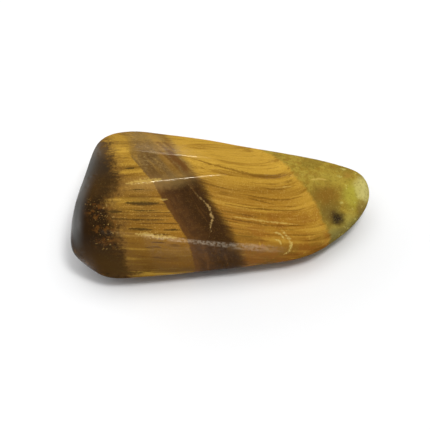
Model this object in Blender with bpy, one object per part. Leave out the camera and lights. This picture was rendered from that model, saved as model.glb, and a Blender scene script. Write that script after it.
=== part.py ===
"""A tumbled piece of tiger's eye, modelled in Blender as one solid.

A tumbled stone starts as a block broken from a seam.  Its break faces set the shape, and the
barrel then wears the edges between them round.  Here each break face is a plane with a facing and
a distance, and the stone is the block that the planes cut out, with its edges worn: the surface is
where the planes' soft maximum is nought.  A finely divided cube is drawn onto that surface, its
small pit and shallow hollows are pressed in, and its underside is levelled into a flat to rest on.

Run it with blender --background --python part.py, or from Blender's text editor.
The origin is the middle of the stone's bounding box, on the floor.  +X points to the thin end.
"""
import math

import bmesh
import bpy
import numpy as np

MM = 0.001

STONE = "stone"
COLLECTION = "tumbled_tigers_eye"

# Break faces of the block, each as (name, azimuth, elevation, distance, wear).
# Azimuth turns from +X towards +Y and elevation rises from level, in degrees: the face's facing.
# Distance is from the block's middle to the face, in mm.  Wear is how softly the face blends into
# its neighbours, in mm: the two faces at a crisp ridge have a wear near 0.1.
TOP_FACES = (
    ("front_slope", -62, 61, 3.60, 0.12),
    ("crown", 65, 77, 4.62, 0.08),
    ("back_slope", 78, 59, 5.20, 0.08),
    ("right_crown", 13, 79, 4.62, 0.12),
)
WALL_FACES = (
    ("front_wall", -83, 18, 6.32, 0.35),
    ("back_wall", 80, -10, 8.01, 0.30),
    ("back_corner", 118, -12, 12.72, 0.40),
    ("left_end", 167, 9, 15.79, 0.40),
    ("left_end_low", 180, 0, 17.08, 0.40),
)
RIM_FACES = (
    ("back_rim_left", 81.6, 35, 7.46, 0.30),
    ("back_rim_right", 71, 34, 8.42, 0.30),
    ("left_corner_back", 160, 14, 16.08, 0.30),
    ("left_corner_top", 130, 28, 14.12, 0.30),
    ("left_corner_front", -133, -27, 14.79, 0.70),
    ("front_rim", -82, -35, 7.46, 0.30),
)
TIP_FACES = (
    ("tip_back", 58, 31, 11.46, 0.40),
    ("tip_upper", 27, 17, 16.45, 0.40),
    ("tip_end", 0, 0, 17.80, 0.40),
    ("tip_lower", -25, -16, 15.59, 0.40),
    ("tip_front", -44, -26, 12.09, 0.40),
    ("tip_heel", -60, -31, 9.89, 0.40),
    ("tip_under", 4, -64, 9.27, 0.50),
)
# Broad bevels between the top faces and the ends, where the barrel wore the most.
BEVEL_FACES = (
    ("left_shoulder_back", 160, 45, 14.57, 0.40),
    ("left_shoulder_front", -165, 43, 15.51, 0.40),
    ("left_shoulder_corner", -125, 20, 14.99, 0.50),
    ("left_shoulder_top", 150, 55, 11.95, 0.40),
    ("left_bevel_front", -128, 63, 10.60, 0.25),
    ("front_bevel", -76, 40, 5.20, 0.25),
    ("tip_bevel_end", 5, 42, 13.20, 0.35),
    ("tip_bevel_lower", -28, 25, 13.36, 0.35),
    ("tip_bevel_front", -50, 15, 10.67, 0.35),
)
UNDER_FACES = (
    ("belly", -90, -90, 5.50, 0.30),
    ("front_under", -88, -60, 6.91, 0.50),
    ("back_under", 70, -42, 7.60, 0.50),
    ("left_under", 178, -42, 14.15, 0.50),
)
FACES = TOP_FACES + WALL_FACES + RIM_FACES + TIP_FACES + BEVEL_FACES + UNDER_FACES

# The ridges between the top faces are crisp for CRISP_REACH on both sides of CRISP_MIDDLE along X.
# Beyond that they blunt over BLUNTING_LENGTH, until their wear has grown by BLUNTED, all in mm.
CRISP_MIDDLE = -5.0
CRISP_REACH = 3.5
BLUNTING_LENGTH = 7.0
BLUNTED = 0.35

# The barrel leaves no face dead flat: long low swells, each as (direction, wavelength, height) in mm.
SWELLS = (
    ((0.25, 0.9, 0.1), 9.0, 0.030),
    ((-0.4, 0.8, 0.5), 6.1, 0.012),
    ((0.5, -0.3, 0.9), 4.3, 0.012),
)

# Hollows that the barrel didn't reach, each as (name, middle, radius, depth) in mm.
HOLLOWS = (
    ("tip_pit", (13.45, -1.44, -0.45), 0.85, 0.35),
    ("tip_scallop", (13.2, -3.5, -1.4), 2.2, 0.14),
    ("back_scallop", (-5.0, 8.6, -3.6), 4.0, 0.40),
    ("back_nick", (6.5, 6.2, -2.6), 1.9, 0.20),
    ("left_scallop", (-16.3, -1.8, -2.4), 2.6, 0.22),
)
PIT_MIDDLE, PIT_RADIUS = HOLLOWS[0][1:3]

# The underside is level up to this height, which leaves a flat to rest on.
FLAT_HEIGHT = -5.40

# The line inside the block, thick end to thin end, that the cube's points are pushed out from.
SPINE_LEFT = (-9.5, 0.2, 0.0)
SPINE_RIGHT = (10.5, -0.2, -1.9)

CUBE_CUTS = 24
PIT_REFINEMENTS = 2
FARTHEST = 40.0
BISECTIONS = 44

STONE_COLOUR = (0.352, 0.185, 0.038, 1.0)
STONE_ROUGHNESS = 0.16
QUARTZ_IOR = 1.544
SMOOTH_UP_TO = 35.0


def facing(azimuth, elevation):
    """Return the unit vector that a face looks along."""
    around, up = math.radians(azimuth), math.radians(elevation)
    return (math.cos(up) * math.cos(around), math.cos(up) * math.sin(around), math.sin(up))


FACINGS = np.array([facing(azimuth, elevation) for _, azimuth, elevation, _, _ in FACES])
DISTANCES = np.array([distance for *_, distance, _ in FACES])
WEAR = np.array([wear for *_, wear in FACES])
ON_TOP = np.arange(len(FACES)) < len(TOP_FACES)


def swell(points):
    """Return how far the worn surface stands above the flat break faces at each point."""
    height = np.zeros(len(points))
    for direction, wavelength, rise in SWELLS:
        height += rise * np.sin(points @ np.array(direction) * 2.0 * math.pi / wavelength)
    return height


def wear_at(points):
    """Return each face's wear at each point: the top faces blunt away from their crisp middle."""
    beyond = (np.abs(points[:, 0] - CRISP_MIDDLE) - CRISP_REACH) / BLUNTING_LENGTH
    beyond = np.clip(beyond, 0.0, 1.0)
    blunt = BLUNTED * beyond**2 * (3.0 - 2.0 * beyond)
    return WEAR + blunt[:, None] * ON_TOP


def pull_of_faces(points):
    """Return each face's share in the soft maximum.  The shares add up to 1 on the surface."""
    beyond = points @ FACINGS.T - DISTANCES - swell(points)[:, None]
    return np.exp(np.clip(beyond / wear_at(points), -60.0, 30.0))


def onto_surface(directions):
    """Return the points of the worn block that lie along each direction from its spine."""
    left, right = np.array(SPINE_LEFT), np.array(SPINE_RIGHT)
    start = (left + right) / 2.0 + (right - left) / 2.0 * directions[:, :1]
    near = np.zeros(len(directions))
    far = np.full(len(directions), FARTHEST)
    for _ in range(BISECTIONS):
        middle = (near + far) / 2.0
        inside = pull_of_faces(start + directions * middle[:, None]).sum(axis=1) < 1.0
        near = np.where(inside, middle, near)
        far = np.where(inside, far, middle)
    return start + directions * near[:, None]


def outward(points):
    """Return the surface's normal at each of its points."""
    normals = (pull_of_faces(points) / wear_at(points)) @ FACINGS
    return normals / np.linalg.norm(normals, axis=1)[:, None]


def press_hollows(points):
    """Return the points with each hollow pressed in along the surface's normal."""
    normals = outward(points)
    depth = np.zeros(len(points))
    for _, middle, radius, deepest in HOLLOWS:
        away = np.linalg.norm(points - np.array(middle), axis=1) / radius
        depth += np.where(away < 1.0, deepest * np.cos(away * math.pi / 2.0) ** 2, 0.0)
    return points - normals * depth[:, None]


def places_of(cube):
    """Return a bmesh's vertex places as an array."""
    return np.array([vertex.co[:] for vertex in cube.verts])


def directions_of(cube):
    """Return the way out from the middle to each of the cube's points, spread evenly."""
    spread = np.tan(places_of(cube) * math.pi / 4.0)
    return spread / np.linalg.norm(spread, axis=1)[:, None]


def divided_cube():
    """Make a cube of side 2 whose faces are grids of small triangles, smallest around the pit."""
    cube = bmesh.new()
    bmesh.ops.create_cube(cube, size=2.0)
    bmesh.ops.subdivide_edges(cube, edges=cube.edges[:], cuts=CUBE_CUTS, use_grid_fill=True)
    bmesh.ops.triangulate(cube, faces=cube.faces[:])
    for refinement in range(PIT_REFINEMENTS):
        surface = onto_surface(directions_of(cube))
        reach = PIT_RADIUS * (2.0 - 0.5 * refinement)
        near = np.linalg.norm(surface - np.array(PIT_MIDDLE), axis=1) < reach
        cube.verts.index_update()
        edges = [edge for edge in cube.edges if all(near[v.index] for v in edge.verts)]
        bmesh.ops.subdivide_edges(cube, edges=edges, cuts=1)
        bmesh.ops.triangulate(cube, faces=cube.faces[:])
    return cube


def stand_on_floor(points):
    """Return the points with the bounding box's middle over the origin and the flat on the floor."""
    lowest, highest = points.min(axis=0), points.max(axis=0)
    middle = (lowest + highest) / 2.0
    return points - np.array((middle[0], middle[1], lowest[2]))


def stone_mesh():
    """Draw the divided cube onto the worn block and return it as a mesh, in metres."""
    cube = divided_cube()
    points = press_hollows(onto_surface(directions_of(cube)))
    points[:, 2] = np.maximum(points[:, 2], FLAT_HEIGHT)
    points = stand_on_floor(points)
    for vertex, place in zip(cube.verts, points):
        vertex.co = place * MM
    bmesh.ops.recalc_face_normals(cube, faces=cube.faces[:])
    mesh = bpy.data.meshes.new(STONE)
    cube.to_mesh(mesh)
    cube.free()
    mesh.shade_smooth()
    mesh.set_sharp_from_angle(angle=math.radians(SMOOTH_UP_TO))
    return mesh


def stone_material():
    """Make the golden brown of polished tiger's eye."""
    material = bpy.data.materials.new("polished_tigers_eye")
    material.use_nodes = True
    shader = material.node_tree.nodes["Principled BSDF"]
    shader.inputs["Base Color"].default_value = STONE_COLOUR
    shader.inputs["Roughness"].default_value = STONE_ROUGHNESS
    shader.inputs["Metallic"].default_value = 0.0
    shader.inputs["IOR"].default_value = QUARTZ_IOR
    material.diffuse_color = STONE_COLOUR
    return material


def clear_scene():
    """Remove every object of the open scene."""
    for item in list(bpy.data.objects):
        bpy.data.objects.remove(item, do_unlink=True)


def build():
    """Make the stone in a collection of its own."""
    clear_scene()
    collection = bpy.data.collections.new(COLLECTION)
    bpy.context.scene.collection.children.link(collection)
    stone = bpy.data.objects.new(STONE, stone_mesh())
    stone.data.materials.append(stone_material())
    collection.objects.link(stone)
    return stone


if __name__ == "__main__":
    build()
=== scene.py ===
# %% [markdown]
# # A tumbled tiger's eye
#
# Tiger's eye is quartz that grew through a seam of asbestos fibres, so the stone is full of fine
# straight fibres.  Rusted iron between them gives the gold and the brown.  This piece was broken
# from its seam and turned in a barrel with grit, then with polish, until its edges were round and
# its faces shone.
#
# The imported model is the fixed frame: it says where the stone is and how big it is.  Everything
# below makes the stone's fine skin, its colours and its polish, and puts it in plain studio light.

import math
import random

import bmesh
import bpy
import numpy as np
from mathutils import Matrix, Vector


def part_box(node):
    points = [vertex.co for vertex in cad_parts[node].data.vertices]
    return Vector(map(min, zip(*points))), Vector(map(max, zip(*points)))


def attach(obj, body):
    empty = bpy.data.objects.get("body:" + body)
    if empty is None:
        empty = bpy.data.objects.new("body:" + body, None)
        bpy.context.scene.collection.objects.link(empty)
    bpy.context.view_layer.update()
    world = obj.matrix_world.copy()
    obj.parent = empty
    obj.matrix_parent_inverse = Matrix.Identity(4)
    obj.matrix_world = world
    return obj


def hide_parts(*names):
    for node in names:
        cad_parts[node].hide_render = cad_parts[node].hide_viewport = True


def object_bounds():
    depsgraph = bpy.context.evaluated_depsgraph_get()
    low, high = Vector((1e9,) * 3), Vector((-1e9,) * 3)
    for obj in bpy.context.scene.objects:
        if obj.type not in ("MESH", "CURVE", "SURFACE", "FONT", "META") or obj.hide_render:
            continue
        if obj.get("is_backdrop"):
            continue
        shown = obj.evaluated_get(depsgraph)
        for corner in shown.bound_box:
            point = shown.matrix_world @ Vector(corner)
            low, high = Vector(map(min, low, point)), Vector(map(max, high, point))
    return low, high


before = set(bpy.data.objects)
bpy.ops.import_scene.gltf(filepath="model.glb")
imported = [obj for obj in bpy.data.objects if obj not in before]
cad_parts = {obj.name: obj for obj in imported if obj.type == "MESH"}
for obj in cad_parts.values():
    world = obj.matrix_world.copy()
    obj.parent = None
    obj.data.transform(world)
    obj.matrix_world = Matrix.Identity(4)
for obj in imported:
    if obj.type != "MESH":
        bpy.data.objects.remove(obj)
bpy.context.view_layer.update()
MM = 0.001

print("nodes in the frame:", sorted(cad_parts))

# %% [markdown]
# ## The worn block
#
# The solid in the frame was made from the flat faces that the stone broke along.  Its faceted
# surface is coarse, because it is there to be held and weighed.  One way to a finer surface would
# be to smooth that mesh, but smoothing shrinks a stone and rounds the ridges that the polish
# catches.  So the same recipe is run again on a finer grid: each break face is a plane with a
# facing and a distance, and the surface is where the planes' soft maximum is nought.

# %% The break faces
# Each face is (azimuth, elevation, distance, wear).  The angles are in degrees, azimuth turning
# from +X towards +Y and elevation rising from level.  Distance is from the block's middle, and
# wear is how softly the face blends into its neighbours, both in mm.
TOP_FACES = (
    (-62, 61, 3.60, 0.12),
    (65, 77, 4.62, 0.08),
    (78, 59, 5.20, 0.08),
    (13, 79, 4.62, 0.12),
)
WALL_FACES = (
    (-83, 18, 6.32, 0.35),
    (80, -10, 8.01, 0.30),
    (118, -12, 12.72, 0.40),
    (167, 9, 15.79, 0.40),
    (180, 0, 17.08, 0.40),
)
RIM_FACES = (
    (81.6, 35, 7.46, 0.30),
    (71, 34, 8.42, 0.30),
    (160, 14, 16.08, 0.30),
    (130, 28, 14.12, 0.30),
    (-133, -27, 14.79, 0.70),
    (-82, -35, 7.46, 0.30),
)
TIP_FACES = (
    (58, 31, 11.46, 0.40),
    (27, 17, 16.45, 0.40),
    (0, 0, 17.80, 0.40),
    (-25, -16, 15.59, 0.40),
    (-44, -26, 12.09, 0.40),
    (-60, -31, 9.89, 0.40),
    (4, -64, 9.27, 0.50),
)
BEVEL_FACES = (
    (160, 45, 14.57, 0.40),
    (-165, 43, 15.51, 0.40),
    (-125, 20, 14.99, 0.50),
    (150, 55, 11.95, 0.40),
    (-128, 63, 10.60, 0.25),
    (-76, 40, 5.20, 0.25),
    (5, 42, 13.20, 0.35),
    (-28, 25, 13.36, 0.35),
    (-50, 15, 10.67, 0.35),
)
UNDER_FACES = (
    (-90, -90, 5.50, 0.30),
    (-88, -60, 6.91, 0.50),
    (70, -42, 7.60, 0.50),
    (178, -42, 14.15, 0.50),
)
FACES = np.array(TOP_FACES + WALL_FACES + RIM_FACES + TIP_FACES + BEVEL_FACES + UNDER_FACES)

AROUND, UPWARD = np.radians(FACES[:, 0]), np.radians(FACES[:, 1])
FACINGS = np.stack(
    (np.cos(UPWARD) * np.cos(AROUND), np.cos(UPWARD) * np.sin(AROUND), np.sin(UPWARD)), axis=1
)
DISTANCES, WEAR = FACES[:, 2], FACES[:, 3]

# The barrel leaves no face dead flat: long low swells of (direction, wavelength, height) in mm.
SWELLS = (
    ((0.25, 0.9, 0.1), 9.0, 0.030),
    ((-0.4, 0.8, 0.5), 6.1, 0.012),
    ((0.5, -0.3, 0.9), 4.3, 0.012),
)

print("break faces:", len(FACES))

# %% The soft maximum
# The ridges on top are crisp within CRISP_REACH of CRISP_MIDDLE, and grow blunter over the next
# BLUNTING_LENGTH.  A point of the skin is found by halving the way out from the stone's spine, which
# is a line inside it, because from a single middle the thin end would come out coarse.
CRISP_MIDDLE = -5.0
CRISP_REACH = 3.5
BLUNTING_LENGTH = 7.0
BLUNTED = 0.35
FARTHEST = 40.0
BISECTIONS = 40
EXPONENT_LIMITS = (-60.0, 30.0)
SPINE_LEFT = np.array((-9.5, 0.2, 0.0))
SPINE_RIGHT = np.array((10.5, -0.2, -1.9))


def wear_at(points):
    """Return each face's wear at each point: the ridges on top are crisp in the middle alone."""
    beyond = (np.abs(points[:, 0] - CRISP_MIDDLE) - CRISP_REACH) / BLUNTING_LENGTH
    blunt = np.clip(beyond, 0.0, 1.0) ** 2 * (3.0 - 2.0 * np.clip(beyond, 0.0, 1.0))
    return WEAR + BLUNTED * blunt[:, None] * (np.arange(len(FACES)) < len(TOP_FACES))


def pull_of_faces(points):
    """Return each face's share in the soft maximum.  The shares add up to 1 on the surface."""
    swell = np.zeros(len(points))
    for direction, wavelength, rise in SWELLS:
        swell += rise * np.sin(points @ np.array(direction) * 2.0 * math.pi / wavelength)
    beyond = points @ FACINGS.T - DISTANCES - swell[:, None]
    return np.exp(np.clip(beyond / wear_at(points), *EXPONENT_LIMITS))


def onto_surface(directions):
    """Return the points of the worn block that lie along each direction from its spine."""
    start = (SPINE_LEFT + SPINE_RIGHT) / 2.0
    start = start + (SPINE_RIGHT - SPINE_LEFT) / 2.0 * directions[:, :1]
    near = np.zeros(len(directions))
    far = np.full(len(directions), FARTHEST)
    for _ in range(BISECTIONS):
        middle = (near + far) / 2.0
        inside = pull_of_faces(start + directions * middle[:, None]).sum(axis=1) < 1.0
        near = np.where(inside, middle, near)
        far = np.where(inside, far, middle)
    return start + directions * near[:, None]


def outward(points):
    """Return the surface's normal at each of its points."""
    normals = (pull_of_faces(points) / wear_at(points)) @ FACINGS
    return normals / np.linalg.norm(normals, axis=1)[:, None]


print("block's top, in mm from its middle:", onto_surface(np.array([(0.0, 0.0, 1.0)])).round(2)[0])

# %% [markdown]
# ## The fine skin
#
# A sphere's points would crowd at its poles, and a plain grid can't close.  A cube that is divided
# evenly and pushed out onto the surface gives small, nearly square cells all over the stone.

# %% Divide a cube and draw it onto the block
CUBE_CUTS = 116

cube = bmesh.new()
bmesh.ops.create_cube(cube, size=2.0)
bmesh.ops.subdivide_edges(cube, edges=cube.edges[:], cuts=CUBE_CUTS, use_grid_fill=True)
bmesh.ops.triangulate(cube, faces=cube.faces[:])
spread = np.tan(np.array([vertex.co[:] for vertex in cube.verts]) * math.pi / 4.0)
directions = spread / np.linalg.norm(spread, axis=1)[:, None]
block = onto_surface(directions)
normals = outward(block)

print("points:", len(block), "triangles:", len(cube.faces))

# %% [markdown]
# ## The fibres' own axes
#
# Every pattern in the stone follows its fibres, so it is simplest to measure along them: u runs
# along the fibres, v up the front slope and w out of it, in mm.  They start from a point of the seam
# of their own, below the block's middle.

# %% Axes along the fibres
# What is added to a place from the block's middle, to count it from the frame's or the seam's zero,
# and the directions of the three axes.
BLOCK_TO_FRAME = np.array((-0.1691, -0.5333, 5.4))
BLOCK_TO_SEAM = np.array((0.0122, -0.4265, 5.4))
FIBRE = np.array((0.9731, 0.1321, -0.1886))
UPSLOPE = np.array((-0.0348, 0.8940, 0.4466))
OUT = np.array((0.2276, -0.4281, 0.8746))

in_seam = block + BLOCK_TO_SEAM
along, up, out = in_seam @ FIBRE, in_seam @ UPSLOPE, in_seam @ OUT

print("fibre axes span:", [(float(a.min().round(1)), float(a.max().round(1))) for a in (along, up, out)])


# %% [markdown]
# ## Routes
#
# A crack, a vein or a dark fibre is a line in the skin.  Each is given by a few points, in mm along
# and up the slope.  A smooth curve goes through them, and each point of the skin learns how far it
# lies from that curve, counted in half widths of the line.  A distance stays sharp between two
# points of the mesh, where a painted yes or no would blur.


# %% Lines by their distance
# A line reaches this many half widths, lies on the top side alone (this far out, in mm), and is
# this share of its full width at its two ends.
LINE_REACH = 6.0
TOP_SIDE = 3.0
LINE_TIP = 0.3
STEPS_PER_RUN = 6


def smooth_route(points):
    """Return a finely stepped curve through the points (a Catmull-Rom spline)."""
    knots = np.array(points, dtype=float)
    knots = np.vstack((2.0 * knots[0] - knots[1], knots, 2.0 * knots[-1] - knots[-2]))
    route = []
    for before, start, end, after in zip(knots[:-3], knots[1:-2], knots[2:-1], knots[3:]):
        for step in np.arange(STEPS_PER_RUN) / STEPS_PER_RUN:
            bend = (2.0 * before - 5.0 * start + 4.0 * end - after) * step**2
            twist = (3.0 * start - before - 3.0 * end + after) * step**3
            route.append(start + 0.5 * ((end - before) * step + bend + twist))
    return np.array(route + [knots[-2]])


def half_widths_away(route, half_width):
    """Return each point's distance from a route, in half widths.  The line thins to its ends."""
    curve = smooth_route(route)
    here = np.stack((along, up), axis=1)
    nearest = np.full(len(here), LINE_REACH)
    for number, (start, end) in enumerate(zip(curve[:-1], curve[1:])):
        run = end - start
        part = np.clip((here - start) @ run / (run @ run), 0.0, 1.0)
        gap = np.linalg.norm(here - start - part[:, None] * run, axis=1)
        share = (number + part) / (len(curve) - 1)
        width = half_width * (LINE_TIP + (1.0 - LINE_TIP) * np.sin(math.pi * share))
        nearest = np.minimum(nearest, gap / width)
    return np.where(out > TOP_SIDE, nearest, LINE_REACH)


def nearest_of(lines):
    """Return the distance from the nearest of several lines, each given as (half width, route)."""
    return np.min([half_widths_away(route, half_width) for half_width, route in lines], axis=0)


print("a route of 3 points gets", len(smooth_route(((0, 0), (1, 0), (2, 1)))), "steps")

# %% Dark cracks and brown seams
# Left of the band, open cracks along the fibres are stained dark.  Each is (half width, route), and
# a route is (along, up the slope), in mm.
DARK_LINES = (
    (0.10, ((-12.4, 5.85), (-11.2, 5.9))),
    (0.06, ((-12.4, 3.1), (-10.4, 3.2))),
    (0.20, ((-12.9, 1.66), (-11.6, 1.59), (-10.2, 1.53), (-8.9, 1.62))),
    (0.16, ((-14.9, 0.66), (-14.0, 0.64), (-13.2, 0.64))),
    (0.07, ((-15.2, -0.12), (-13.4, -0.2), (-10.0, -0.3), (-7.8, -0.3))),
    (0.06, ((-12.8, 0.9), (-10.8, 0.75), (-8.6, 0.8))),
    (0.13, ((-12.6, -1.29), (-11.2, -1.35), (-9.8, -1.41))),
    (0.10, ((-8.6, -1.48), (-7.3, -1.42), (-6.5, -1.43))),
    (0.07, ((-14.5, -5.2), (-11.6, -5.8), (-9.4, -5.7))),
)
# Right of the band, seams of brown follow the sagging fibres.
SEAMS = (
    (0.13, ((-4.7, 7.2), (-2.6, 6.35), (-0.6, 5.7), (2.4, 4.85), (4.0, 4.65), (5.4, 4.75), (6.6, 5.2))),
    (0.10, ((0.9, 2.65), (3.0, 2.25), (4.5, 2.05), (6.1, 2.05), (7.9, 2.45))),
    (0.08, ((3.0, 3.45), (4.5, 3.25), (5.8, 3.35), (7.3, 3.8))),
    (0.08, ((1.4, 2.25), (2.5, 1.95), (4.7, 1.4))),
    (0.08, ((-1.3, 1.55), (1.3, 1.1), (4.0, 0.85), (6.8, 0.75), (8.2, 1.1))),
    (0.10, ((-1.3, 0.0), (0.8, -0.45), (3.5, -0.9), (5.6, -1.0), (7.4, -0.9))),
)

dark_line = nearest_of(DARK_LINES)
seam_line = nearest_of(SEAMS)

print("points on cracks:", int((dark_line < 1.0).sum()), "and on seams:", int((seam_line < 1.0).sum()))

# %% Strands and stains
# Strands of deeper brown lie along the band, in its paler top.
STRANDS = (
    (0.16, ((-9.5, 10.7), (-8.5, 10.4), (-7.9, 9.9), (-6.9, 8.2), (-5.7, 6.5), (-4.2, 4.2))),
    (0.13, ((-7.8, 10.8), (-7.1, 9.7), (-6.6, 9.1), (-6.1, 8.0))),
    (0.14, ((-8.1, 8.3), (-7.4, 7.4), (-6.8, 6.5), (-6.2, 5.5))),
)
# Stains are wider and softer: iron that spread along the fibres, in the gold and in the band's top.
STAINS = (
    (0.40, ((-1.2, -2.0), (1.2, -2.3), (3.0, -2.55))),
    (0.45, ((-1.0, -3.5), (1.2, -3.6), (3.4, -3.8))),
    (0.45, ((-13.2, 2.1), (-11.0, 2.0), (-9.6, 1.9))),
    (0.45, ((-14.6, 0.6), (-12.4, 0.5))),
    (0.35, ((-13.6, 5.8), (-12.0, 5.9), (-10.4, 5.9))),
    (0.45, ((-13.1, 9.4), (-11.9, 9.5), (-10.6, 9.5), (-9.4, 9.8), (-8.6, 9.3), (-7.9, 8.8))),
    (0.60, ((-9.9, 6.0), (-8.9, 5.5), (-8.0, 5.1))),
    (0.80, ((-11.4, 8.5), (-10.2, 8.3), (-9.2, 7.9))),
    (0.50, ((-9.6, 9.6), (-8.6, 8.9), (-7.8, 8.0))),
    (0.40, ((-7.2, 6.2), (-6.6, 5.6), (-6.2, 5.2))),
)

strand_line = nearest_of(STRANDS)
stain = nearest_of(STAINS)

print("points on strands:", int((strand_line < 1.0).sum()), "and on stains:", int((stain < 1.0).sum()))

# %% Pale fibres, painted glints, vein and bruise
# Some fibres stayed pale.  The pale streaks along the two front ridges and the small arc at the olive
# end are painted glints of the light on the polish.
PALE_FIBRES_AND_GLINTS = (
    (0.10, ((-0.4, 0.1), (3.7, -0.5), (7.2, -0.85))),
    (0.12, ((-9.0, 2.0), (-7.9, 2.05))),
    (0.09, ((4.7, 3.4), (6.7, 3.6))),
    (0.30, ((-12.6, 3.9), (-10.6, 4.15), (-8.4, 4.4))),
    (0.30, ((-11.8, -1.8), (-9.5, -2.05), (-7.0, -2.3))),
    (0.14, ((8.9, 4.36), (9.95, 4.48), (11.0, 4.36))),
)
# The vein is a crack in the brown band that healed with pale quartz.
VEIN = (
    (-5.5, 3.8),
    (-4.5, 2.6),
    (-3.6, 1.7),
    (-3.1, 1.1),
    (-2.95, 0.4),
    (-2.75, -0.1),
    (-3.0, -0.8),
    (-3.0, -1.5),
    (-3.25, -2.2),
)
VEIN_HALF_WIDTH = 0.13
# The bruise is the set of arcs that a blow from another stone left.
BRUISE_ARCS = (
    (0.13, ((5.1, -1.2), (5.6, -1.95), (6.1, -2.4), (6.35, -3.1), (6.1, -3.8), (5.5, -4.25))),
    (0.09, ((4.4, -2.5), (5.0, -2.8), (5.3, -3.45))),
    (0.09, ((4.3, -1.7), (5.0, -1.9), (5.7, -2.6))),
)

pale_fibre_and_glint = nearest_of(PALE_FIBRES_AND_GLINTS)
vein = half_widths_away(VEIN, VEIN_HALF_WIDTH)
bruise = nearest_of(BRUISE_ARCS)

print("points on the vein:", int((vein < 1.0).sum()), "and on the bruise:", int((bruise < 1.0).sum()))

# %% [markdown]
# ## Where the dark end stops
#
# The thick end is a dark crust of iron oxide with a ragged inner edge.  A painted mask would blur
# at that edge, so each point gets its distance from it instead, and the shader roughens it later.

# %% The crust's edge
# The edge is (how far up the slope, how far along the fibres), in mm.
CRUST_EDGE = (
    (-12.0, -10.5),
    (-8.0, -10.8),
    (-5.3, -12.1),
    (-4.0, -12.9),
    (-2.4, -13.9),
    (-0.8, -14.0),
    (0.5, -14.5),
    (2.0, -14.9),
    (2.6, -14.2),
    (4.4, -13.4),
    (6.3, -13.7),
    (8.3, -14.0),
    (12.0, -13.5),
)
edge_up, edge_along = np.array(CRUST_EDGE).T
crust = along - np.interp(up, edge_up, edge_along)

print("share of the skin in the crust:", round(float((crust < 0.0).mean()), 2))

# %% [markdown]
# ## How the fibres bend
#
# Left of the brown band the fibres run straight.  Right of it they sag in an arc, and turn up again
# just before the olive end.  A bent pattern could be drawn with a curve for every fibre.  It is
# easier to bend the ruler: up the slope is measured from the arc instead of from a straight line,
# and any streaky pattern then bends by itself.

# %% Bend the ruler
# The sag in mm is SAG times the square of the way from its lowest line, which runs beside the olive
# border.  It grows up the slope, and right of that line it is SAG_RIGHT times as strong.
OLIVE_FACING = np.array((0.745, 0.613, -0.262))
OLIVE_DISTANCE = 5.72
SAG_BEFORE_OLIVE = 2.9
SAG = 0.018
SAG_GROWS = 0.10
SAG_RIGHT = 4.0
SAG_LEFT_REACH = 10.0
SAG_RIGHT_REACH = 3.5
SAG_UP_REACH = (-6.0, 7.0)

sag_from = in_seam @ OLIVE_FACING - OLIVE_DISTANCE + SAG_BEFORE_OLIVE
lean = np.clip(sag_from, -SAG_LEFT_REACH, SAG_RIGHT_REACH)
lift = np.where(lean > 0.0, SAG_RIGHT, 1.0) * lean**2
bent_up = up - SAG * np.exp(SAG_GROWS * np.clip(up, *SAG_UP_REACH)) * lift
fibre = np.stack((along, bent_up, out), axis=1)
straight = np.stack((along, up, out), axis=1)

print("fibres sag by up to", round(float((up - bent_up).max()), 2), "mm")

# %% [markdown]
# ## Hollows and pocks
#
# The barrel can't reach into a hollow, so each stays as it broke: a small pit near the tip, a few
# shallow scoops, the cracks, the bruise where another stone struck, and the pocked skin of the dark
# crust.  These have depth, so they are pressed into the mesh.  A hollow is a round dip, deepest in
# its middle, that is pressed in along the surface's normal.

# %% Hollows and pocks
# Each hollow is (middle, radius, depth) in mm from the block's middle.  The last is the pit's throat.
HOLLOWS = [
    ((13.45, -1.44, -0.45), 0.85, 0.35),
    ((13.2, -3.5, -1.4), 2.2, 0.14),
    ((-5.0, 8.6, -3.6), 4.0, 0.40),
    ((6.5, 6.2, -2.6), 1.9, 0.20),
    ((-16.3, -1.8, -2.4), 2.6, 0.22),
    ((13.42, -1.5, -0.45), 0.48, 0.22),
]

POCKS = 150
POCK_RADIUS = (0.14, 0.34)
POCK_STEEPNESS = 0.16
POCK_BORDER = 0.4
POCK_SEED = 11

draw = random.Random(POCK_SEED)
pocked = np.flatnonzero(crust < POCK_BORDER)
pocks = []
for _ in range(POCKS):
    middle = block[draw.choice(pocked)]
    radius = draw.uniform(*POCK_RADIUS)
    pocks.append((middle, radius, radius * POCK_STEEPNESS))

print("hollows:", len(HOLLOWS), "pocks:", len(pocks))

# %% Press them in
BRUISE_DEPTH = 0.035
CRACK_DEPTH = 0.02

depth = np.zeros(len(block))
for middle, radius, deepest in HOLLOWS + pocks:
    away = np.linalg.norm(block - np.array(middle), axis=1) / radius
    depth += np.where(away < 1.0, deepest * np.cos(np.minimum(away, 1.0) * math.pi / 2.0) ** 2, 0.0)
depth += BRUISE_DEPTH * np.clip(1.0 - bruise, 0.0, 1.0)
depth += CRACK_DEPTH * np.clip(1.0 - np.minimum(dark_line, seam_line), 0.0, 1.0)

skin = block - normals * depth[:, None]

print("deepest dip in mm:", round(float(depth.max()), 2))

# %% [markdown]
# ## Level the underside and fit the solid
#
# The stone rests on a worn flat.  Then the skin is brought to the solid's own box, so that the
# stone that is seen is as big as the stone that is weighed.

# %% Level and fit
FLAT_HEIGHT = -5.40

skin[:, 2] = np.maximum(skin[:, 2], FLAT_HEIGHT)
low, high = skin.min(axis=0), skin.max(axis=0)
solid_low, solid_high = (np.array(corner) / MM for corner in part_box("stone"))
skin = solid_low + (skin - low) * (solid_high - solid_low) / (high - low)

print("skin against solid, in mm:", (low - solid_low + BLOCK_TO_FRAME).round(3), (high - low).round(3))

# %% Make the mesh
for vertex, point in zip(cube.verts, skin):
    vertex.co = point * MM
bmesh.ops.recalc_face_normals(cube, faces=cube.faces[:])
mesh = bpy.data.meshes.new("tumbled_stone")
cube.to_mesh(mesh)
cube.free()
mesh.shade_smooth()

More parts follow.
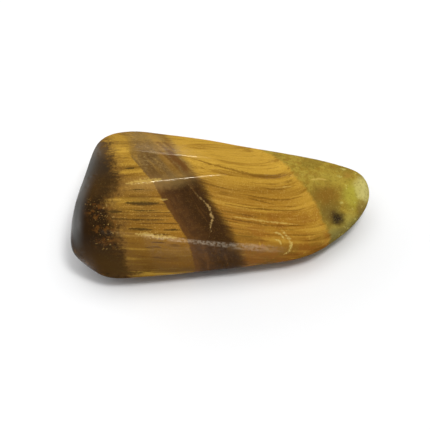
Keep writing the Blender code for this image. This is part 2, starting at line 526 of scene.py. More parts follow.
stone = bpy.data.objects.new("tumbled_stone", mesh)
bpy.context.scene.collection.objects.link(stone)
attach(stone, "root")
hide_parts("stone")

print("mesh:", mesh.name, "with", len(mesh.polygons), "triangles")

# %% Hand the measures to the shader
MEASURES = {
    "dark_line": dark_line,
    "seam_line": seam_line,
    "strand_line": strand_line,
    "stain": stain,
    "pale_fibre_and_glint": pale_fibre_and_glint,
    "vein": vein,
    "bruise": bruise,
    "crust": crust,
}
for name, values in MEASURES.items():
    mesh.attributes.new(name, "FLOAT", "POINT").data.foreach_set("value", values.astype(np.float32))
for name, places in {"fibre": fibre, "straight": straight}.items():
    ruler = mesh.attributes.new(name, "FLOAT_VECTOR", "POINT")
    ruler.data.foreach_set("vector", places.astype(np.float32).ravel())

print("measures on the mesh:", sorted([*MEASURES, "fibre", "straight"]))

# %% [markdown]
# ## Colour and nodes
#
# Colours are written as they look on a screen, and one function turns them to the linear light that
# the shader counts in.  A second function adds a node, sets it and links it.  A third lays a colour
# over those beneath it, as far as a measure says.  The whole stone is built up from such layers.

# %% The finish and its helpers
stone_finish = bpy.data.materials.new("polished_tigers_eye")
stone_finish.use_nodes = True
tree = stone_finish.node_tree
shader = tree.nodes["Principled BSDF"]

# A measure that is eased in and out shows no corners, as a straight ramp would.
SOFT = {"interpolation_type": "SMOOTHSTEP"}


def linear(hex_colour):
    """Return an sRGB colour such as #b1842f as linear red, green, blue and alpha."""
    values = [int(hex_colour[start : start + 2], 16) / 255.0 for start in (1, 3, 5)]
    return [v / 12.92 if v <= 0.04045 else ((v + 0.055) / 1.055) ** 2.4 for v in values] + [1.0]


def add(kind, inputs=(), output=0, **settings):
    """Add a node to the tree, make its settings, fill or link its inputs, and return one output.

    An input is named by its label, or by its place among those in use where labels repeat.
    """
    made = tree.nodes.new("ShaderNode" + kind)
    for name, value in settings.items():
        setattr(made, name, value)
    used = [socket for socket in made.inputs if socket.enabled]
    for key, value in dict(inputs).items():
        socket = used[key] if isinstance(key, int) else next(s for s in used if s.name == key)
        if isinstance(value, bpy.types.NodeSocket):
            tree.links.new(value, socket)
        elif isinstance(value, str):
            socket.default_value = linear(value)
        else:
            socket.default_value = value
    if isinstance(output, str):
        return made.outputs[output]
    return [socket for socket in made.outputs if socket.enabled][output]


def lay_colour(under, colour, measure, start, end, strength=1.0, where=1.0):
    """Lay a colour over another: none of it where the measure is at start, full strength at end."""
    rise = {"Value": measure, "From Min": start, "From Max": end, "To Max": strength}
    mask = add("MapRange", rise, **SOFT)
    mask = add("Math", {0: mask, 1: where}, operation="MULTIPLY")
    return add("Mix", {"Factor": mask, "A": under, "B": colour}, data_type="RGBA")


def lay_colours(under, layers):
    """Lay colours in turn, each as (colour, measure, start, end, strength, where)."""
    for layer in layers:
        under = lay_colour(under, *layer)
    return under


def roughened(edge, noises):
    """Push a distance to and fro by noises, each as (noise about nought, how many mm of it)."""
    for noise, amount in noises:
        edge = add("Math", {0: noise, 1: amount, 2: edge}, operation="MULTIPLY_ADD")
    return edge


print("#808080 in linear light:", [round(value, 3) for value in linear("#808080")])

# %% [markdown]
# ## Places and streaks
#
# Streaks are noise that is stretched along the fibres.  The fibres themselves are about 0.02 mm
# thick, far finer than the eye can part at arm's length.  What shows is bundles of them, so the
# fine streaks here are 0.25 mm wide and the broad ones about 1 mm.  A colour layer can follow any
# of these measures: a place along, up or above the floor, or the strength of a noise.

# %% Where each point of the skin is
SEAM_FROM_FRAME = (BLOCK_TO_SEAM - BLOCK_TO_FRAME).tolist()

place = {0: add("TexCoord", output="Object"), 1: (1 / MM,) * 3, 2: SEAM_FROM_FRAME}
place = add("VectorMath", place, operation="MULTIPLY_ADD")
rim_height = add("SeparateXYZ", {0: place}, output="Z")

straight_place = add("Attribute", output="Vector", attribute_name="straight")
slope_up = add("SeparateXYZ", {0: straight_place}, output="Y")

fibre_place = add("Attribute", output="Vector", attribute_name="fibre")
u = add("SeparateXYZ", {0: fibre_place}, output="X")
v = add("SeparateXYZ", {0: fibre_place}, output="Y")

print("nodes for the places:", len(tree.nodes))

# %% Streaks along the fibres
STREAK_LENGTH = 20.0
FINE_STREAK = 0.25
BROAD_STREAK = 1.1

stretched = add("VectorMath", {0: fibre_place, 1: (1 / STREAK_LENGTH, 1, 1)}, operation="MULTIPLY")
fine = {"Vector": stretched, "Scale": 1 / FINE_STREAK, "Detail": 3.0, "Roughness": 0.6}
fine = add("TexNoise", fine)
broad = {"Vector": stretched, "Scale": 1 / BROAD_STREAK, "Detail": 2.0, "Roughness": 0.5}
broad = add("TexNoise", broad)
fray = add("Math", {0: fine, 1: 0.5}, operation="SUBTRACT")

print("fine streaks to a mm:", 1 / FINE_STREAK)

# %% Mottles that don't follow the fibres
# Sizes in mm.  Real silk grain is finer than 0.05 mm, so it is drawn coarser to show at all.
PATCH = 2.4
MOTTLE = 0.7
SPECK = 0.28
GRAIN = 0.14

patchy = add("TexNoise", {"Vector": place, "Scale": 1 / PATCH, "Detail": 3.0, "Roughness": 0.55})
mottle = add("TexNoise", {"Vector": place, "Scale": 1 / MOTTLE, "Detail": 4.0, "Roughness": 0.6})
specks = add("TexNoise", {"Vector": place, "Scale": 1 / SPECK, "Detail": 2.0, "Roughness": 0.7})
grain = add("TexNoise", {"Vector": place, "Scale": 1 / GRAIN, "Detail": 2.0, "Roughness": 0.6})
drift = add("Math", {0: patchy, 1: 0.5}, operation="SUBTRACT")
crumble = add("Math", {0: mottle, 1: 0.5}, operation="SUBTRACT")
chipped = add("Math", {0: specks, 1: 0.5}, operation="SUBTRACT")

print("nodes so far:", len(tree.nodes))

# %% [markdown]
# ## Gold
#
# The gold is rusted fibre in clear quartz.  It isn't one colour: at the top of the stone it is a
# light yellow, and down the front it gets deeper and more orange.  That change is partly the gold's
# own tone and partly painted light and shade: lighter on top, where the light falls, and darker down
# the front, where less of it falls.  Where the fibres meet the clear quartz of the thin end they are
# bright, and towards the crust they are dull.  Close to the floor they are darker still, which is
# painted shade.  Dark and pale bundles of fibre lie over that.

# %% Where the gold changes
olive_side = {0: place, 1: OLIVE_FACING.tolist()}
olive_side = add("VectorMath", olive_side, output="Value", operation="DOT_PRODUCT")

left_dull = {"Value": v, "From Min": 3.9, "From Max": 2.0, "To Min": 0.45}
left_dull = add("MapRange", left_dull, **SOFT)
left_half = add("MapRange", {"Value": u, "From Min": -4.0, "From Max": -9.0}, **SOFT)

lower = add("MapRange", {"Value": v, "From Min": 1.5, "From Max": -1.0}, **SOFT)
right_half = add("MapRange", {"Value": u, "From Min": -2.0, "From Max": 1.5}, **SOFT)
lower_right = add("Math", {0: lower, 1: right_half}, operation="MULTIPLY")

well_lit = {"Value": slope_up, "From Min": -3.0, "From Max": -1.0, "To Min": 0.25}
well_lit = add("MapRange", well_lit)
calmer = {"Value": slope_up, "From Min": 7.6, "From Max": 5.2, "To Min": 0.45}
calmer = add("MapRange", calmer)

print("nodes so far:", len(tree.nodes))

# %% Gold fibres
# Bright at the olive end and dull towards the crust.  Deeper down the front, partly its own tone
# and partly painted shade, and darker at the foot and close to the floor, which is painted shade.
GOLD_TONES_AND_SHADE = (
    ("#bf9635", olive_side, OLIVE_DISTANCE - 3.0, OLIVE_DISTANCE - 0.2, 0.45),
    ("#75531f", u, -6.0, -11.5, 0.70, left_dull),
    ("#7c561c", v, -2.4, -4.6, 0.55),
    ("#523919", v, -4.1, -5.8, 0.50),
    ("#4a3316", rim_height, 5.7, 3.7, 0.42),
)
# Broad bundles of fibre, and the orange blotches low on the right.
GOLD_BUNDLES = (
    ("#7c5216", broad, 0.45, 0.32, 0.55),
    ("#85501a", patchy, 0.54, 0.42, 0.55, lower_right),
    ("#c59c3c", mottle, 0.60, 0.74, 0.45, lower_right),
    ("#cba03c", broad, 0.53, 0.68, 0.50),
)
# Fine dark and pale fibres, and the grain that makes them silky.  The pale grain is a painted
# shimmer of light, and it and the pale fibres are laid thinner down the front wall, where less light
# falls: painted shade.
GOLD_FIBRES = (
    ("#613d0e", fine, 0.47, 0.32, 0.60, calmer),
    ("#cda347", fine, 0.55, 0.70, 0.32, well_lit),
    ("#d0aa55", grain, 0.55, 0.72, 0.40, well_lit),
    ("#7a5418", grain, 0.45, 0.30, 0.35),
    ("#4f3a1c", fine, 0.43, 0.33, 0.50, left_half),
)
# Lighter up the slope, partly the gold's own tone and partly painted light on the stone's top.
gold = lay_colour("#9b6d22", "#ba9034", v, 0.0, 6.0)
gold = lay_colours(gold, GOLD_TONES_AND_SHADE + GOLD_BUNDLES + GOLD_FIBRES)

print("nodes after the gold:", len(tree.nodes))

# %% [markdown]
# ## The brown band
#
# A slab of darker, less rusted fibre crosses the stone.  Its two sides are nearly flat planes, so
# it is cut from the gold by the distance from a plane, and it comes out right on every side of the
# stone.  The slab turns a little low down and bends high up, which shifts that distance.  It is
# layered: strands of gold and of deep brown run across the fibres, along the slab.

# %% The band's two sides
BAND_FACING = (0.837, 0.546, -0.020)
BAND_LEFT = -6.75
BAND_WIDTH = 4.88
BAND_TURN = 0.45
BAND_BENDS = 1.5

across = add("VectorMath", {0: place, 1: BAND_FACING}, output="Value", operation="DOT_PRODUCT")
across = add("Math", {0: across, 1: BAND_LEFT}, operation="SUBTRACT")
turn = {"Value": slope_up, "From Min": -3.2, "From Max": 2.4, "To Max": BAND_TURN}
across = add("Math", {0: across, 1: add("MapRange", turn, **SOFT)})
bend = {"Value": slope_up, "From Min": 7.0, "From Max": 10.4, "To Max": -BAND_BENDS}
across = add("Math", {0: across, 1: add("MapRange", bend, **SOFT)})

left_side = roughened(across, ((fray, 0.5),))
right_side = roughened(across, ((fray, 0.7), (drift, 0.9)))
past_left = add("MapRange", {"Value": left_side, "From Min": -0.14, "From Max": 0.14}, **SOFT)
short_of_right = {"Value": right_side, "From Min": BAND_WIDTH + 0.80, "From Max": BAND_WIDTH - 0.70}
short_of_right = add("MapRange", short_of_right, **SOFT)
band = add("Math", {0: past_left, 1: short_of_right}, operation="MULTIPLY")

high_up = add("MapRange", {"Value": slope_up, "From Min": 5.8, "From Max": 8.4}, **SOFT)
fanned = add("MapRange", {"Value": left_side, "From Min": -0.6, "From Max": 1.0}, **SOFT)
fanned = add("Mix", {"Factor": high_up, "A": 1.0, "B": fanned})
band = add("Math", {0: band, 1: fanned}, operation="MULTIPLY")

print("band: about", BAND_WIDTH, "mm wide")

# %% Strands in the band
# GOLD_STRAND and RED_STRAND are how far two single strands lie from the left side, in mm.
STRAND_FLATTENING = (0.0, 0.22, 0.22)
STRANDS_TO_A_MM = 1.3
GOLD_STRAND = 3.2
RED_STRAND = 4.3

flattened = add("VectorMath", {0: fibre_place, 1: STRAND_FLATTENING}, operation="MULTIPLY")
layered = add("VectorMath", {0: add("CombineXYZ", {0: across}), 1: flattened}, operation="ADD")
strand = {"Vector": layered, "Scale": STRANDS_TO_A_MM, "Detail": 5.0, "Roughness": 0.68}
strand = add("TexNoise", {**strand, "Distortion": 0.4})
# The top of the stone, where the light falls.  The layers laid by it make the band paler there, partly
# with its own strands and partly with a painted sheen.
lit = add("MapRange", {"Value": slope_up, "From Min": 4.0, "From Max": 6.0}, **SOFT)

gold_strand = add("Math", {0: across, 1: GOLD_STRAND}, operation="SUBTRACT")
gold_strand = add("Math", {0: gold_strand}, operation="ABSOLUTE")
red_strand = add("Math", {0: right_side, 1: RED_STRAND}, operation="SUBTRACT")
red_strand = add("Math", {0: red_strand}, operation="ABSOLUTE")

print("nodes so far:", len(tree.nodes))

# %% Brown band
# Redder beside its left side and darkest in its middle.  It is much paler on the top of the stone,
# partly its own colour and partly a painted sheen of the light that falls there.
BROWN_BODY = (
    ("#68431c", across, 0.9, 0.2, 0.50),
    ("#33200b", across, 0.9, 3.0, 0.75),
    ("#755a31", slope_up, 4.0, 6.0),
)
# On top the strands show, with fine fibres and specks between them.
BROWN_STRANDS = (
    ("#a3803c", strand, 0.52, 0.64, 0.70, lit),
    ("#584022", strand, 0.49, 0.38, 0.75, lit),
    ("#5f4320", fine, 0.50, 0.34, 0.50, lit),
    ("#b0935a", specks, 0.56, 0.68, 0.35, lit),
    ("#4f3719", specks, 0.44, 0.34, 0.35, lit),
    ("#6b4720", strand, 0.52, 0.64, 0.30),
    ("#9c7129", gold_strand, 0.70, 0.15, 0.50, lit),
    ("#66401a", red_strand, 0.55, 0.15, 0.80, lit),
    ("#8a6a35", grain, 0.55, 0.75, 0.25),
)
brown = lay_colour("#4a3017", "#5d3d1c", mottle, 0.45, 0.62, 0.6)
brown = lay_colours(brown, BROWN_BODY + BROWN_STRANDS)
body = lay_colour(gold, brown, band, 0.0, 1.0, 0.65)
body = lay_colour(body, brown, slope_up, 8.8, 7.4, 1.0, band)

print("nodes after the band:", len(tree.nodes))

# %% [markdown]
# ## The painted haze on the ridge
#
# Around the thin gleam on the ridge across the left of the stone lies a pale haze of light.  It is
# painted on as a colour, faint and uneven, on both sides of a line that climbs to the right.

# %% Painted haze along the ridge
RIDGE_CLIMB = 0.12
RIDGE_UP = 5.10
HAZE_MIDDLE = -9.0

from_ridge = add("Math", {0: u, 1: -RIDGE_CLIMB, 2: slope_up}, operation="MULTIPLY_ADD")
from_ridge = add("Math", {0: from_ridge, 1: RIDGE_UP}, operation="SUBTRACT")
from_ridge = roughened(from_ridge, ((crumble, 1.0),))
from_ridge = add("Math", {0: from_ridge}, operation="ABSOLUTE")
painted_haze_share = add("Math", {0: u, 1: HAZE_MIDDLE}, operation="SUBTRACT")
painted_haze_share = add("Math", {0: painted_haze_share}, operation="ABSOLUTE")
painted_haze_share = add("MapRange", {"Value": painted_haze_share, "From Min": 5.2, "From Max": 1.6})
# The pale colour here is painted light: the haze around the ridge's gleam.
body = lay_colour(body, "#cca660", from_ridge, 1.4, 0.0, 0.26, painted_haze_share)

print("nodes after the haze:", len(tree.nodes))

# %% [markdown]
# ## The dark crust
#
# At the thick end the iron oxide is nearly black.  It doesn't stop at a line: the gold dulls first,
# then turns brown, then goes dark, and flecks of gold show where a bundle of fibres comes through.
# High up the crust is greyer, and at its top it is lighter, a painted grey sheen.  On the end
# itself it is mottled like old leather, and where it faces left it carries a painted grey reflection
# of the pale wall.

# %% How ragged the crust is
to_edge = add("Attribute", output="Fac", attribute_name="crust")
fibrous = {"Value": slope_up, "From Min": -1.5, "From Max": -3.5, "To Min": 0.6, "To Max": 2.6}
fibrous = add("MapRange", fibrous)
ragged = roughened(to_edge, ((drift, 2.4), (fray, fibrous), (crumble, 2.2), (chipped, 2.0)))
crusted = add("MapRange", {"Value": ragged, "From Min": 0.4, "From Max": -0.8}, **SOFT)
thinned = {"Value": slope_up, "From Min": -4.8, "From Max": -2.4, "To Min": 0.40}
thinned = add("MapRange", thinned)

print("nodes so far:", len(tree.nodes))

# %% Where gold specks come through
SPECKLED_DEPTH = 1.2

near_edge = add("Math", {0: to_edge, 1: SPECKLED_DEPTH})
near_edge = add("Math", {0: near_edge}, operation="ABSOLUTE")
near_edge = add("MapRange", {"Value": near_edge, "From Min": 2.0, "From Max": 0.8}, **SOFT)
low_down = {"Value": slope_up, "From Min": 2.6, "From Max": 0.8, "To Min": 0.15}
low_down = add("MapRange", low_down, **SOFT)
speckled = add("MapRange", {"Value": slope_up, "From Min": -4.2, "From Max": -2.4}, **SOFT)
speckled = add("Math", {0: speckled, 1: low_down}, operation="MULTIPLY")
speckled = add("Math", {0: speckled, 1: near_edge}, operation="MULTIPLY")

print("nodes so far:", len(tree.nodes))

# %% Which way the crust faces
facing = add("TexCoord", output="Normal")
leftward = {0: facing, 1: (-1.0, 0.0, 0.0)}
leftward = add("VectorMath", leftward, output="Value", operation="DOT_PRODUCT")
upward = add("SeparateXYZ", {0: facing}, output="Z")
# Where the crust faces left and a little up, a painted grey reflection of the pale wall is laid.
painted_sheen_side = add("MapRange", {"Value": upward, "From Min": 0.05, "From Max": 0.40}, **SOFT)
painted_sheen_side = add("Math", {0: crusted, 1: painted_sheen_side}, operation="MULTIPLY")
thick_end = add("MapRange", {"Value": upward, "From Min": 0.30, "From Max": 0.0}, **SOFT)
thick_end = add("Math", {0: thick_end, 1: crusted}, operation="MULTIPLY")

print("nodes so far:", len(tree.nodes))

# %% Dark crust
# The gold dulls, turns brown and goes dark.
CRUST_BODY = (
    ("#6f5028", ragged, 1.8, 0.3, 0.60),
    ("#4d3516", ragged, 0.8, -0.3, 0.95),
    ("#281a0d", ragged, -0.1, -1.1, 0.95, thinned),
)
# Rust-brown mottles and gold specks, in the crust's first two millimetres.
CRUST_SPECKS = (
    ("#6b4319", mottle, 0.50, 0.64, 0.60, speckled),
    ("#4a3a1c", grain, 0.52, 0.66, 0.50, near_edge),
    ("#a8894c", specks, 0.62, 0.70, 0.75, speckled),
)
# It is browner, then greyer, up the slope, and the end is mottled.  At its top it is lighter, a
# painted grey sheen, and where it faces left and a little up it carries a painted grey reflection of
# the pale wall.
CRUST_TONES_AND_SHEEN = (
    ("#523b1c", slope_up, 1.2, 3.2, 0.32, crusted),
    ("#31281d", slope_up, 4.2, 6.0, 0.60, crusted),
    ("#4f3a22", patchy, 0.50, 0.64, 0.55, thick_end),
    ("#6a4a24", mottle, 0.56, 0.70, 0.50, thick_end),
    ("#1a130c", mottle, 0.44, 0.32, 0.60, thick_end),
    ("#6b5336", slope_up, 6.6, 9.2, 0.55, crusted),
    ("#6b6e6d", leftward, 0.22, 0.85, 0.46, painted_sheen_side),
)
body = lay_colours(body, CRUST_BODY + CRUST_SPECKS + CRUST_TONES_AND_SHEEN)

print("nodes after the crust:", len(tree.nodes))

# %% [markdown]
# ## The olive end
#
# The thin end is quartz without fibres, stained olive.  Its border is another plane.  Inside it lie
# soft patches: a brown one, a bright yellow-green one, the pale tip and the dark pit.  Each is a
# ball of colour, and one noise pushes all their edges to and fro.

# %% Patches in the olive end
# Each is (middle along, up and out, radii, softness, strength, colour), in mm.
PATCHES = (
    ((9.6, 2.6, 8.2), (0.8, 1.5, 3.0), 0.8, 0.70, "#7b6526"),
    ((11.4, 4.2, 8.2), (2.4, 1.2, 3.0), 0.8, 0.60, "#ab9539"),
    ((10.7, 2.6, 8.2), (1.85, 1.55, 3.0), 0.7, 0.90, "#7f5b1f"),
    ((11.0, 1.1, 8.2), (1.2, 0.9, 2.0), 0.8, 0.60, "#6c5524"),
    ((13.8, 2.6, 8.2), (1.1, 1.9, 3.0), 0.8, 0.80, "#aaa039"),
    ((15.2, 3.3, 7.4), (1.2, 1.6, 2.8), 0.8, 0.80, "#d4cc80"),
    ((13.4, 4.9, 8.0), (0.6, 0.5, 1.5), 0.8, 0.60, "#9a732e"),
    ((15.1, 1.1, 7.6), (0.9, 0.9, 1.8), 0.8, 0.75, "#7c6636"),
    ((13.4, -0.5, 7.6), (1.2, 1.1, 2.4), 0.8, 0.75, "#9f9446"),
    ((11.6, -1.7, 7.8), (1.2, 0.9, 2.4), 0.8, 0.75, "#998a43"),
    ((11.1, 0.1, 8.2), (1.3, 1.0, 1.5), 0.9, 0.85, "#5f4a24"),
    ((12.0, -0.1, 8.1), (0.95, 0.85, 1.5), 0.65, 1.00, "#35291b"),
)
PATCH_WOBBLE = 1.1
WOBBLES_TO_A_MM = 0.9

olive = lay_colour("#94782a", "#a78e37", mottle, 0.42, 0.65)
olive = lay_colour(olive, "#7f6a27", patchy, 0.52, 0.40, 0.5)
olive = lay_colour(olive, "#8e6a26", mottle, 0.45, 0.34, 0.50)

wobble = {"Vector": place, "Scale": WOBBLES_TO_A_MM, "Detail": 3.0}
wobble = add("TexNoise", wobble, output="Color")
wobble = add("VectorMath", {0: wobble, 1: (0.5, 0.5, 0.5)}, operation="SUBTRACT")
wobble = add("VectorMath", {0: wobble, 1: (PATCH_WOBBLE,) * 3}, operation="MULTIPLY")
for middle, radii, softness, strength, colour in PATCHES:
    away = add("VectorMath", {0: straight_place, 1: middle}, operation="SUBTRACT")
    away = add("VectorMath", {0: away, 1: radii}, operation="DIVIDE")
    away = add("VectorMath", {0: away, 1: wobble}, operation="ADD")
    away = add("VectorMath", {0: away}, output="Value", operation="LENGTH")
    olive = lay_colour(olive, colour, away, 1.0 + softness / 2, 1.0 - softness, strength)

print("patches:", len(PATCHES))

# %% Olive end
tipward = add("MapRange", {"Value": u, "From Min": 11.5, "From Max": 13.0}, **SOFT)
# Darker at the foot, which is painted shade, with pale grains, paler blotches at the tip and dark
# specks.
OLIVE_OVER = (
    ("#5c5530", rim_height, 4.9, 3.8, 0.60),
    ("#c4b45c", grain, 0.56, 0.72, 0.25),
    ("#d3cb78", mottle, 0.60, 0.70, 0.40, tipward),
    ("#6c5a22", specks, 0.47, 0.35, 0.35),
)
olive = lay_colours(olive, OLIVE_OVER)
border = roughened(olive_side, ((drift, 1.2), (fray, 0.8)))
body = lay_colour(body, olive, border, OLIVE_DISTANCE - 0.20, OLIVE_DISTANCE + 0.30)

print("nodes after the olive end:", len(tree.nodes))

# %% [markdown]
# ## Lines
#
# The stains, the strands, the cracks, the pale fibres and the painted glints, the vein and the
# bruise go on last, by the measures that the mesh carries.  Their edges crumble, or they would look
# drawn with a pen.

# %% Lines over the colours
# Each is (name, how much its edge crumbles, where it starts and is full in half widths, strength,
# colour).
LINES = (
    ("stain", 3.0, 1.9, 0.2, 0.40, "#65461a"),
    ("strand_line", 3.0, 2.2, 0.2, 0.65, "#67431c"),
    ("seam_line", 3.0, 1.9, 0.2, 0.70, "#6f4a16"),
    ("dark_line", 1.8, 1.8, 0.3, 0.90, "#473516"),
    ("pale_fibre_and_glint", 5.0, 1.3, 0.2, 0.50, "#cfae58"),
    ("vein", 5.0, 1.4, 0.1, 0.70, "#b8965a"),
    ("bruise", 7.0, 1.7, 0.1, 0.58, "#cfb765"),
)
# The vein fades where it starts, high in the band.
fading = {"Value": slope_up, "From Min": 2.6, "From Max": 1.0, "To Min": 0.25}
fading = add("MapRange", fading)
for name, crumbling, start, full, strength, colour in LINES:
    measure = add("Attribute", output="Fac", attribute_name=name)
    measure = roughened(measure, ((chipped, crumbling),))
    shown = fading if name == "vein" else 1.0
    body = lay_colour(body, colour, measure, start, full, strength, shown)
tree.links.new(body, shader.inputs["Base Color"])

print("kinds of line:", len(LINES))

# %% [markdown]
# ## The polish
#
# Under the polish the fibres scatter light softly.  The polish itself is a smooth quartz surface, so
# the shader's coat makes it: clear, of quartz's refractive index, and broken by tiny pits that the
# polish didn't close.  It is best on the thick end and down the left of the stone.  It is worse to
# the right, at the foot of the wall and on the top rim, and worst where the crust meets the gold,
# because that seam is full of pits.

# %% Silk under the polish
QUARTZ_IOR = 1.544
POLISH_ROUGHNESS = 0.14
FIBRE_RELIEF = 0.02

shader.inputs["Metallic"].default_value = 0.0
shader.inputs["IOR"].default_value = QUARTZ_IOR
shader.inputs["Specular IOR Level"].default_value = 0.0
shader.inputs["Coat Roughness"].default_value = POLISH_ROUGHNESS
shader.inputs["Coat IOR"].default_value = QUARTZ_IOR

silk = {"Value": fine, "From Min": 0.3, "From Max": 0.7, "To Min": 0.36, "To Max": 0.52}
tree.links.new(add("MapRange", silk), shader.inputs["Roughness"])
relief = add("Bump", {"Height": fine, "Strength": 0.25, "Distance": FIBRE_RELIEF * MM})
tree.links.new(relief, shader.inputs["Normal"])

print("relief of the fibres in mm:", FIBRE_RELIEF)

# %% Polish
# Pinholes in a real polish are under 0.1 mm.  They are drawn 0.24 mm wide, so that they show.
PINHOLE = 0.24
FOOT_MIDDLE = -2.9

pinholes = {"Vector": place, "Scale": 1 / PINHOLE, "Detail": 3.0, "Roughness": 0.7}
pinholes = add("TexNoise", pinholes)
shine = {"Value": pinholes, "From Min": 0.41, "From Max": 0.54, "To Min": 0.06, "To Max": 0.52}
shine = add("MapRange", shine, **SOFT)

rightward = add("Math", {0: slope_up, 1: 0.8, 2: u}, operation="MULTIPLY_ADD")
duller = {"Value": rightward, "From Min": -0.5, "From Max": 3.8, "To Min": 1.0, "To Max": 0.04}
pitted = {"Value": to_edge, "From Min": 3.8, "From Max": 2.6, "To Min": 1.0, "To Max": 0.18}
for less in (duller, pitted):
    shine = add("Math", {0: shine, 1: add("MapRange", less, **SOFT)}, operation="MULTIPLY")
foot = {"Value": slope_up, "From Min": -3.2, "From Max": -4.6, "To Min": 1.0, "To Max": 0.35}
rim = {"Value": slope_up, "From Min": 8.4, "From Max": 9.6, "To Min": 1.0, "To Max": 0.30}
for less in (foot, rim):
    shine = add("Math", {0: shine, 1: add("MapRange", less)}, operation="MULTIPLY")

glassy = {"Value": to_edge, "From Min": -2.8, "From Max": -4.6, "To Max": 0.52}
glassy = add("MapRange", glassy, **SOFT)
from_foot = add("Math", {0: slope_up, 1: FOOT_MIDDLE}, operation="SUBTRACT")
from_foot = add("Math", {0: from_foot}, operation="ABSOLUTE")
from_foot = {"Value": from_foot, "From Min": 0.5, "From Max": 2.2, "To Min": 0.20}
from_foot = add("MapRange", from_foot, **SOFT)
shine = add("Math", {0: glassy, 1: from_foot, 2: shine}, operation="MULTIPLY_ADD")
tree.links.new(shine, shader.inputs["Coat Weight"])
mesh.materials.append(stone_finish)

print("nodes in the finish:", len(tree.nodes))

# %% [markdown]
# ## The camera
#
# The camera looks down on the stone from in front, 55 degrees above the floor, through a long lens.
# A long lens from far off keeps the stone's two ends to the same scale.

# %% Camera
# The camera aims a little left of and below the block's middle, by AIM_OFFSET in mm across its view.
IMAGE_SIDE = 430
PIXELS_PER_MM = 8.735
CAMERA_ELEVATION = math.radians(55.0)
CAMERA_DISTANCE = 350.0
SENSOR = 36.0
AIM_OFFSET = (-0.515, -1.202)
NEAREST, FARTHEST_SEEN = 0.01, 20.0

right = Vector((1.0, 0.0, 0.0))
view_up = Vector((0.0, math.sin(CAMERA_ELEVATION), math.cos(CAMERA_ELEVATION)))
back = Vector((0.0, -math.cos(CAMERA_ELEVATION), math.sin(CAMERA_ELEVATION)))
aim = Vector(BLOCK_TO_FRAME) + AIM_OFFSET[0] * right + AIM_OFFSET[1] * view_up

camera_data = bpy.data.cameras.new("camera")
camera_data.sensor_width = SENSOR
camera_data.lens = SENSOR * CAMERA_DISTANCE * PIXELS_PER_MM / IMAGE_SIDE
camera_data.clip_start = NEAREST
camera_data.clip_end = FARTHEST_SEEN
camera = bpy.data.objects.new("camera", camera_data)
camera.location = (aim + back * CAMERA_DISTANCE) * MM
camera.rotation_euler = back.to_track_quat("Z", "Y").to_euler()
bpy.context.scene.collection.objects.link(camera)
bpy.context.scene.camera = camera

print("lens in mm:", round(camera_data.lens, 1))

# %% [markdown]
# ## Floor and light
#
# The floor is a matt white card.  Its uncoated paper scatters light evenly, so it shows no glint and
# takes a soft shadow.  A polished stone shows what it reflects, so each light has its place: one low
# behind for the thin gleam on the back ridge, one high behind for the middle ridge, and one low in
# front for the broad soft gleam.  These give glints alone.  The ceiling and the overhead lamp light
# the colours and make the shadow, and give no glint.

# %% Floor
FLOOR_RADIUS = 4.0
FLOOR_SIDES = 96

floor_mesh = bpy.data.meshes.new("floor")
sheet = bmesh.new()
bmesh.ops.create_circle(sheet, cap_ends=True, segments=FLOOR_SIDES, radius=FLOOR_RADIUS)
sheet.to_mesh(floor_mesh)
sheet.free()
floor = bpy.data.objects.new("floor", floor_mesh)
bpy.context.scene.collection.objects.link(floor)
floor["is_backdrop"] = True

floor_finish = bpy.data.materials.new("matt_white_card")
floor_finish.use_nodes = True
card = floor_finish.node_tree.nodes["Principled BSDF"]
card.inputs["Base Color"].default_value = linear("#f2f2f2")
card.inputs["Roughness"].default_value = 0.9
card.inputs["Specular IOR Level"].default_value = 0.1
floor_mesh.materials.append(floor_finish)

print("floor across, in m:", 2 * FLOOR_RADIUS)


# %% Lights
def softbox(name, towards, distance, width, height, radiance, colour, fill, glint):
    """Hang a rectangular light in a direction from the stone, facing it.

    A flat light sends out pi times its radiance from each square metre.
    """
    light_data = bpy.data.lights.new(name, "AREA")
    light_data.shape = "RECTANGLE"
    light_data.size = width
    light_data.size_y = height
    light_data.color = linear(colour)[:3]
    light_data.energy = radiance * math.pi * width * height
    light = bpy.data.objects.new(name, light_data)
    away = Vector(towards).normalized()
    light.location = away * distance
    light.rotation_euler = away.to_track_quat("Z", "Y").to_euler()
    light.visible_camera = False
    light.visible_diffuse = fill
    light.visible_glossy = glint
    bpy.context.scene.collection.objects.link(light)


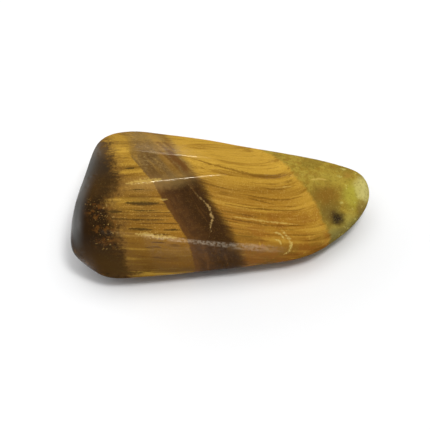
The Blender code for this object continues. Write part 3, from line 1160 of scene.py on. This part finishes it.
# Each is (name, direction, distance, width, height, radiance, colour, fill, glint), in metres.
LIGHTS = (
    ("ceiling_panel", (0.0, 0.0, 1.0), 1.5, 1.7, 1.7, 1.75, "#ffffff", True, False),
    ("overhead_lamp", (0.15, -0.30, 1.0), 1.2, 0.20, 0.20, 47.0, "#ffffff", True, False),
    ("high_back_strip", (0.28, 0.50, 0.82), 1.0, 0.20, 0.10, 50.0, "#fff6dc", False, True),
    ("low_back_strip", (0.11, 0.97, 0.19), 1.0, 0.04, 0.08, 50.0, "#fff6dc", False, True),
    ("low_front_window", (0.35, -0.84, 0.40), 1.0, 0.30, 0.34, 7.0, "#fff2d6", False, True),
)
for light in LIGHTS:
    softbox(*light)

# %% [markdown]
# ## The room
#
# The room is pale near the floor and dim overhead.  A pale wall on the left gives the dark end part
# of its grey sheen, and the rest is painted on the crust as a grey reflection.  The wall is drawn as
# a soft glow in the sky, because a hard-edged panel would show its edge in the polish.

# %% Sky
WALL_SIDE = (-0.90, 0.43, 0.0)
WALL_GLOW = 2.6

studio = bpy.data.worlds.new("studio")
studio.use_nodes = True
tree = studio.node_tree
towards = add("TexCoord", output="Generated")
height = add("SeparateXYZ", {0: towards}, output="Z")
room = {"Value": height, "From Min": 0.02, "From Max": 0.45, "To Min": 0.90, "To Max": 0.10}
room = add("MapRange", room, **SOFT)

side = add("VectorMath", {0: towards, 1: WALL_SIDE}, output="Value", operation="DOT_PRODUCT")
wall = add("MapRange", {"Value": side, "From Min": 0.25, "From Max": 1.0}, **SOFT)
wall_foot = add("MapRange", {"Value": height, "From Max": 0.30}, **SOFT)
wall = add("Math", {0: wall, 1: wall_foot}, operation="MULTIPLY")
wall_top = {"Value": height, "From Min": 0.80, "From Max": 0.30, "To Max": WALL_GLOW}
wall_top = add("MapRange", wall_top, **SOFT)
room = add("Math", {0: wall, 1: wall_top, 2: room}, operation="MULTIPLY_ADD")

sky = tree.nodes["Background"]
sky.inputs["Color"].default_value = linear("#f6f8fa")
tree.links.new(room, sky.inputs["Strength"])
bpy.context.scene.world = studio
bpy.context.scene.view_settings.view_transform = "Standard"

print("nodes in the sky:", len(tree.nodes))

# %% [markdown]
# ## The size
#
# The box of the whole visual model is printed, in mm.  The skin has to stay inside the solid's box.

# %% The size
low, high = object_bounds()
print("box of the visual model in mm:", [round((b - a) / MM, 2) for a, b in zip(low, high)])
